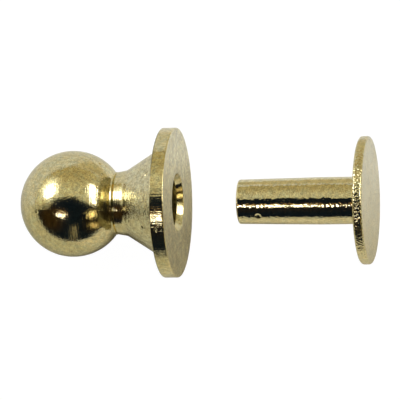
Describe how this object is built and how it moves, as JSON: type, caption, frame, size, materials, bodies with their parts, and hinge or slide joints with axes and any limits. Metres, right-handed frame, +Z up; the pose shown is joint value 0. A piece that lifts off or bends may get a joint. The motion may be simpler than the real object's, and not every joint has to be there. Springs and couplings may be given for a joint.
{
  "type": "ball stud with drive rivet",
  "caption": "Round ball-head stud whose neck flares into a flange, with the flat-headed drive rivet that fixes it through leather from the other side.",
  "frame": {"origin": "centre of the flange's face, the face that lies on the leather", "axes": "+X along the common axis from the stud towards the rivet, +Z up with the pieces lying on their side"},
  "size_m": [0.0237, 0.01, 0.01],
  "materials": {
    "pale_gold_plate": "plated and barrel polished, with fine turning lines"
  },
  "bodies": {
    "stud": {"ball_stud": "pale_gold_plate"},
    "rivet": {"rivet": "pale_gold_plate"}
  },
  "joints": [
    {"name": "rivet_insert", "type": "slide", "parent": "stud", "child": "rivet", "axis": [-1, 0, 0], "range_m": [0, 0.00963]}
  ]
}
